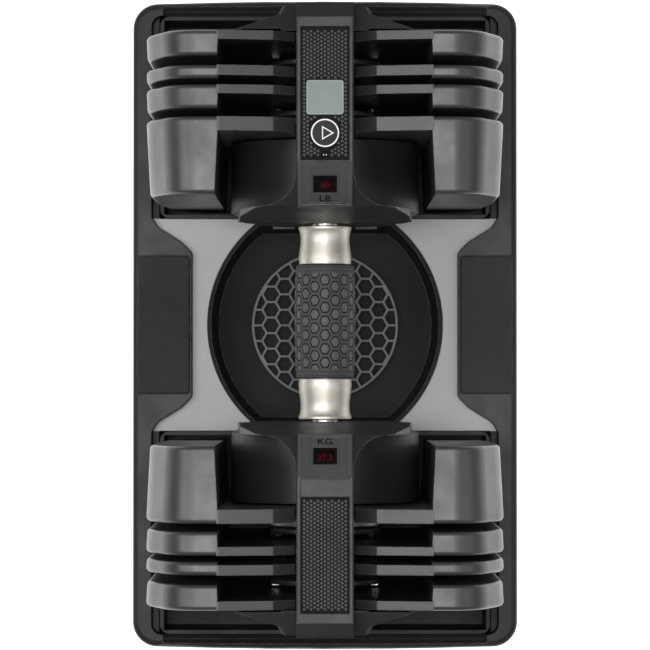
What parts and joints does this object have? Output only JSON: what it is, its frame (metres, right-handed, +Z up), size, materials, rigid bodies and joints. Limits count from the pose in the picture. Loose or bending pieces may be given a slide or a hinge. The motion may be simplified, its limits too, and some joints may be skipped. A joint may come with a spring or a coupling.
{
  "type": "adjustable dumbbell",
  "caption": "Adjustable dumbbell with a twist handle, stacked slotted plates, a console with a small display and weight windows, seated in a rectangular storage base.",
  "frame": {"origin": "centre of the base's bounding rectangle, on the surface it stands on", "axes": "+Z up, +Y along the handle towards the head with the display, +X to the right seen from above with +Y away"},
  "size_m": [0.247, 0.417, 0.256],
  "materials": {
    "base_black": "semi-gloss moulded",
    "deck_grey": "fine speckled grain",
    "tray_black": "satin moulded",
    "grid_grey": "satin moulded",
    "pad_rubber": "matt",
    "foot_rubber": "matt",
    "screw_steel": "dark zinc",
    "housing_black": "satin moulded",
    "window_clear": "dark tinted",
    "panel_black": "embossed dot grain",
    "lcd_grey": "smooth",
    "module_plastic": "matt",
    "board_green": "solder mask",
    "cell_steel": "bright",
    "bush_brass": "turned",
    "spring_steel": "bright",
    "shaft_steel": "turned",
    "grip_rubber": "matt with raised studs",
    "collar_nickel": "satin nickel",
    "drum_plastic": "matt",
    "selector_metal": "zinc plated",
    "button_black": "satin",
    "slider_metal": "zinc plated",
    "plate_plastic": "fine moulded grain",
    "core_iron": "as cast"
  },
  "bodies": {
    "base": {"base_shell": "base_black", "base_deck": "deck_grey", "base_pan": "tray_black", "base_screws": "screw_steel", "base_feet": "foot_rubber", "knuckle_bowl": "tray_black", "honeycomb_grid": "grid_grey", "side_pad_right": "pad_rubber", "side_pad_left": "pad_rubber", "release_posts": "tray_black", "well_tray_lb": "tray_black", "well_tray_kg": "tray_black"},
    "dumbbell": {"chassis_lb": "housing_black", "chassis_kg": "housing_black", "front_housing_lb": "housing_black", "front_housing_kg": "housing_black", "end_cap_lb": "housing_black", "end_cap_kg": "housing_black", "window_bezels": "housing_black", "window_lenses": "window_clear", "display_panel": "panel_black", "blank_panel": "panel_black", "lcd_lens": "lcd_grey", "lcd_module": "module_plastic", "circuit_board": "board_green", "coin_cell": "cell_steel", "tact_switch": "module_plastic", "indicator_lens": "window_clear", "housing_screws": "screw_steel", "shaft_bushes": "bush_brass", "lock_spring_lb": "spring_steel", "lock_spring_kg": "spring_steel"},
    "rotor": {"handle_shaft": "shaft_steel", "grip_sleeve": "grip_rubber", "collar_lb": "collar_nickel", "collar_kg": "collar_nickel", "number_drum_lb": "drum_plastic", "number_drum_kg": "drum_plastic", "selector_discs_lb": "selector_metal", "selector_discs_kg": "selector_metal", "shaft_nuts": "screw_steel"},
    "start_button": {"start_button": "button_black"},
    "lock_slider_lb": {"lock_slider_lb": "slider_metal"},
    "lock_slider_kg": {"lock_slider_kg": "slider_metal"},
    "plate_lb_1": {"plate_cover_lb_1": "plate_plastic", "plate_core_lb_1": "core_iron"},
    "plate_lb_2": {"plate_cover_lb_2": "plate_plastic", "plate_core_lb_2": "core_iron"},
    "plate_lb_3": {"plate_cover_lb_3": "plate_plastic", "plate_core_lb_3": "core_iron"},
    "plate_lb_4": {"plate_cover_lb_4": "plate_plastic", "plate_core_lb_4": "core_iron"},
    "plate_kg_1": {"plate_cover_kg_1": "plate_plastic", "plate_core_kg_1": "core_iron"},
    "plate_kg_2": {"plate_cover_kg_2": "plate_plastic", "plate_core_kg_2": "core_iron"},
    "plate_kg_3": {"plate_cover_kg_3": "plate_plastic", "plate_core_kg_3": "core_iron"},
    "plate_kg_4": {"plate_cover_kg_4": "plate_plastic", "plate_core_kg_4": "core_iron"}
  },
  "joints": [
    {"name": "lift", "type": "slide", "parent": "base", "child": "dumbbell", "axis": [0, 0, 1], "range_m": [0, 0.25]},
    {"name": "handle_twist", "type": "hinge", "parent": "dumbbell", "child": "rotor", "pos_m": [0, 0, 0.135], "axis": [0, 1, 0], "range_deg": [-337.5, 0]},
    {"name": "start_press", "type": "slide", "parent": "dumbbell", "child": "start_button", "axis": [0, 0, -1], "range_m": [0, 0.001], "stiffness_N_per_m": 900, "springref_m": -0.0005},
    {"name": "lock_drop_lb", "type": "slide", "parent": "dumbbell", "child": "lock_slider_lb", "axis": [0, 0, -1], "range_m": [0, 0.005], "deforming": ["lock_spring_lb"]},
    {"name": "lift_plate_lb_1", "type": "slide", "parent": "base", "child": "plate_lb_1", "axis": [0, 0, 1], "range_m": [0, 0.25]},
    {"name": "lift_plate_lb_2", "type": "slide", "parent": "base", "child": "plate_lb_2", "axis": [0, 0, 1], "range_m": [0, 0.25]},
    {"name": "lift_plate_lb_3", "type": "slide", "parent": "base", "child": "plate_lb_3", "axis": [0, 0, 1], "range_m": [0, 0.25]},
    {"name": "lift_plate_lb_4", "type": "slide", "parent": "base", "child": "plate_lb_4", "axis": [0, 0, 1], "range_m": [0, 0.25]},
    {"name": "lock_drop_kg", "type": "slide", "parent": "dumbbell", "child": "lock_slider_kg", "axis": [0, 0, -1], "range_m": [0, 0.005], "deforming": ["lock_spring_kg"]},
    {"name": "lift_plate_kg_1", "type": "slide", "parent": "base", "child": "plate_kg_1", "axis": [0, 0, 1], "range_m": [0, 0.25]},
    {"name": "lift_plate_kg_2", "type": "slide", "parent": "base", "child": "plate_kg_2", "axis": [0, 0, 1], "range_m": [0, 0.25]},
    {"name": "lift_plate_kg_3", "type": "slide", "parent": "base", "child": "plate_kg_3", "axis": [0, 0, 1], "range_m": [0, 0.25]},
    {"name": "lift_plate_kg_4", "type": "slide", "parent": "base", "child": "plate_kg_4", "axis": [0, 0, 1], "range_m": [0, 0.25]}
  ],
  "couplings": [
    {"joint": "lock_drop_lb", "follows": "lift", "ratio": 0.02},
    {"joint": "lift_plate_lb_1", "follows": "lift", "ratio": 1},
    {"joint": "lift_plate_lb_2", "follows": "lift", "ratio": 1},
    {"joint": "lift_plate_lb_3", "follows": "lift", "ratio": 1},
    {"joint": "lift_plate_lb_4", "follows": "lift", "ratio": 1},
    {"joint": "lock_drop_kg", "follows": "lift", "ratio": 0.02},
    {"joint": "lift_plate_kg_1", "follows": "lift", "ratio": 1},
    {"joint": "lift_plate_kg_2", "follows": "lift", "ratio": 1},
    {"joint": "lift_plate_kg_3", "follows": "lift", "ratio": 1},
    {"joint": "lift_plate_kg_4", "follows": "lift", "ratio": 1}
  ]
}
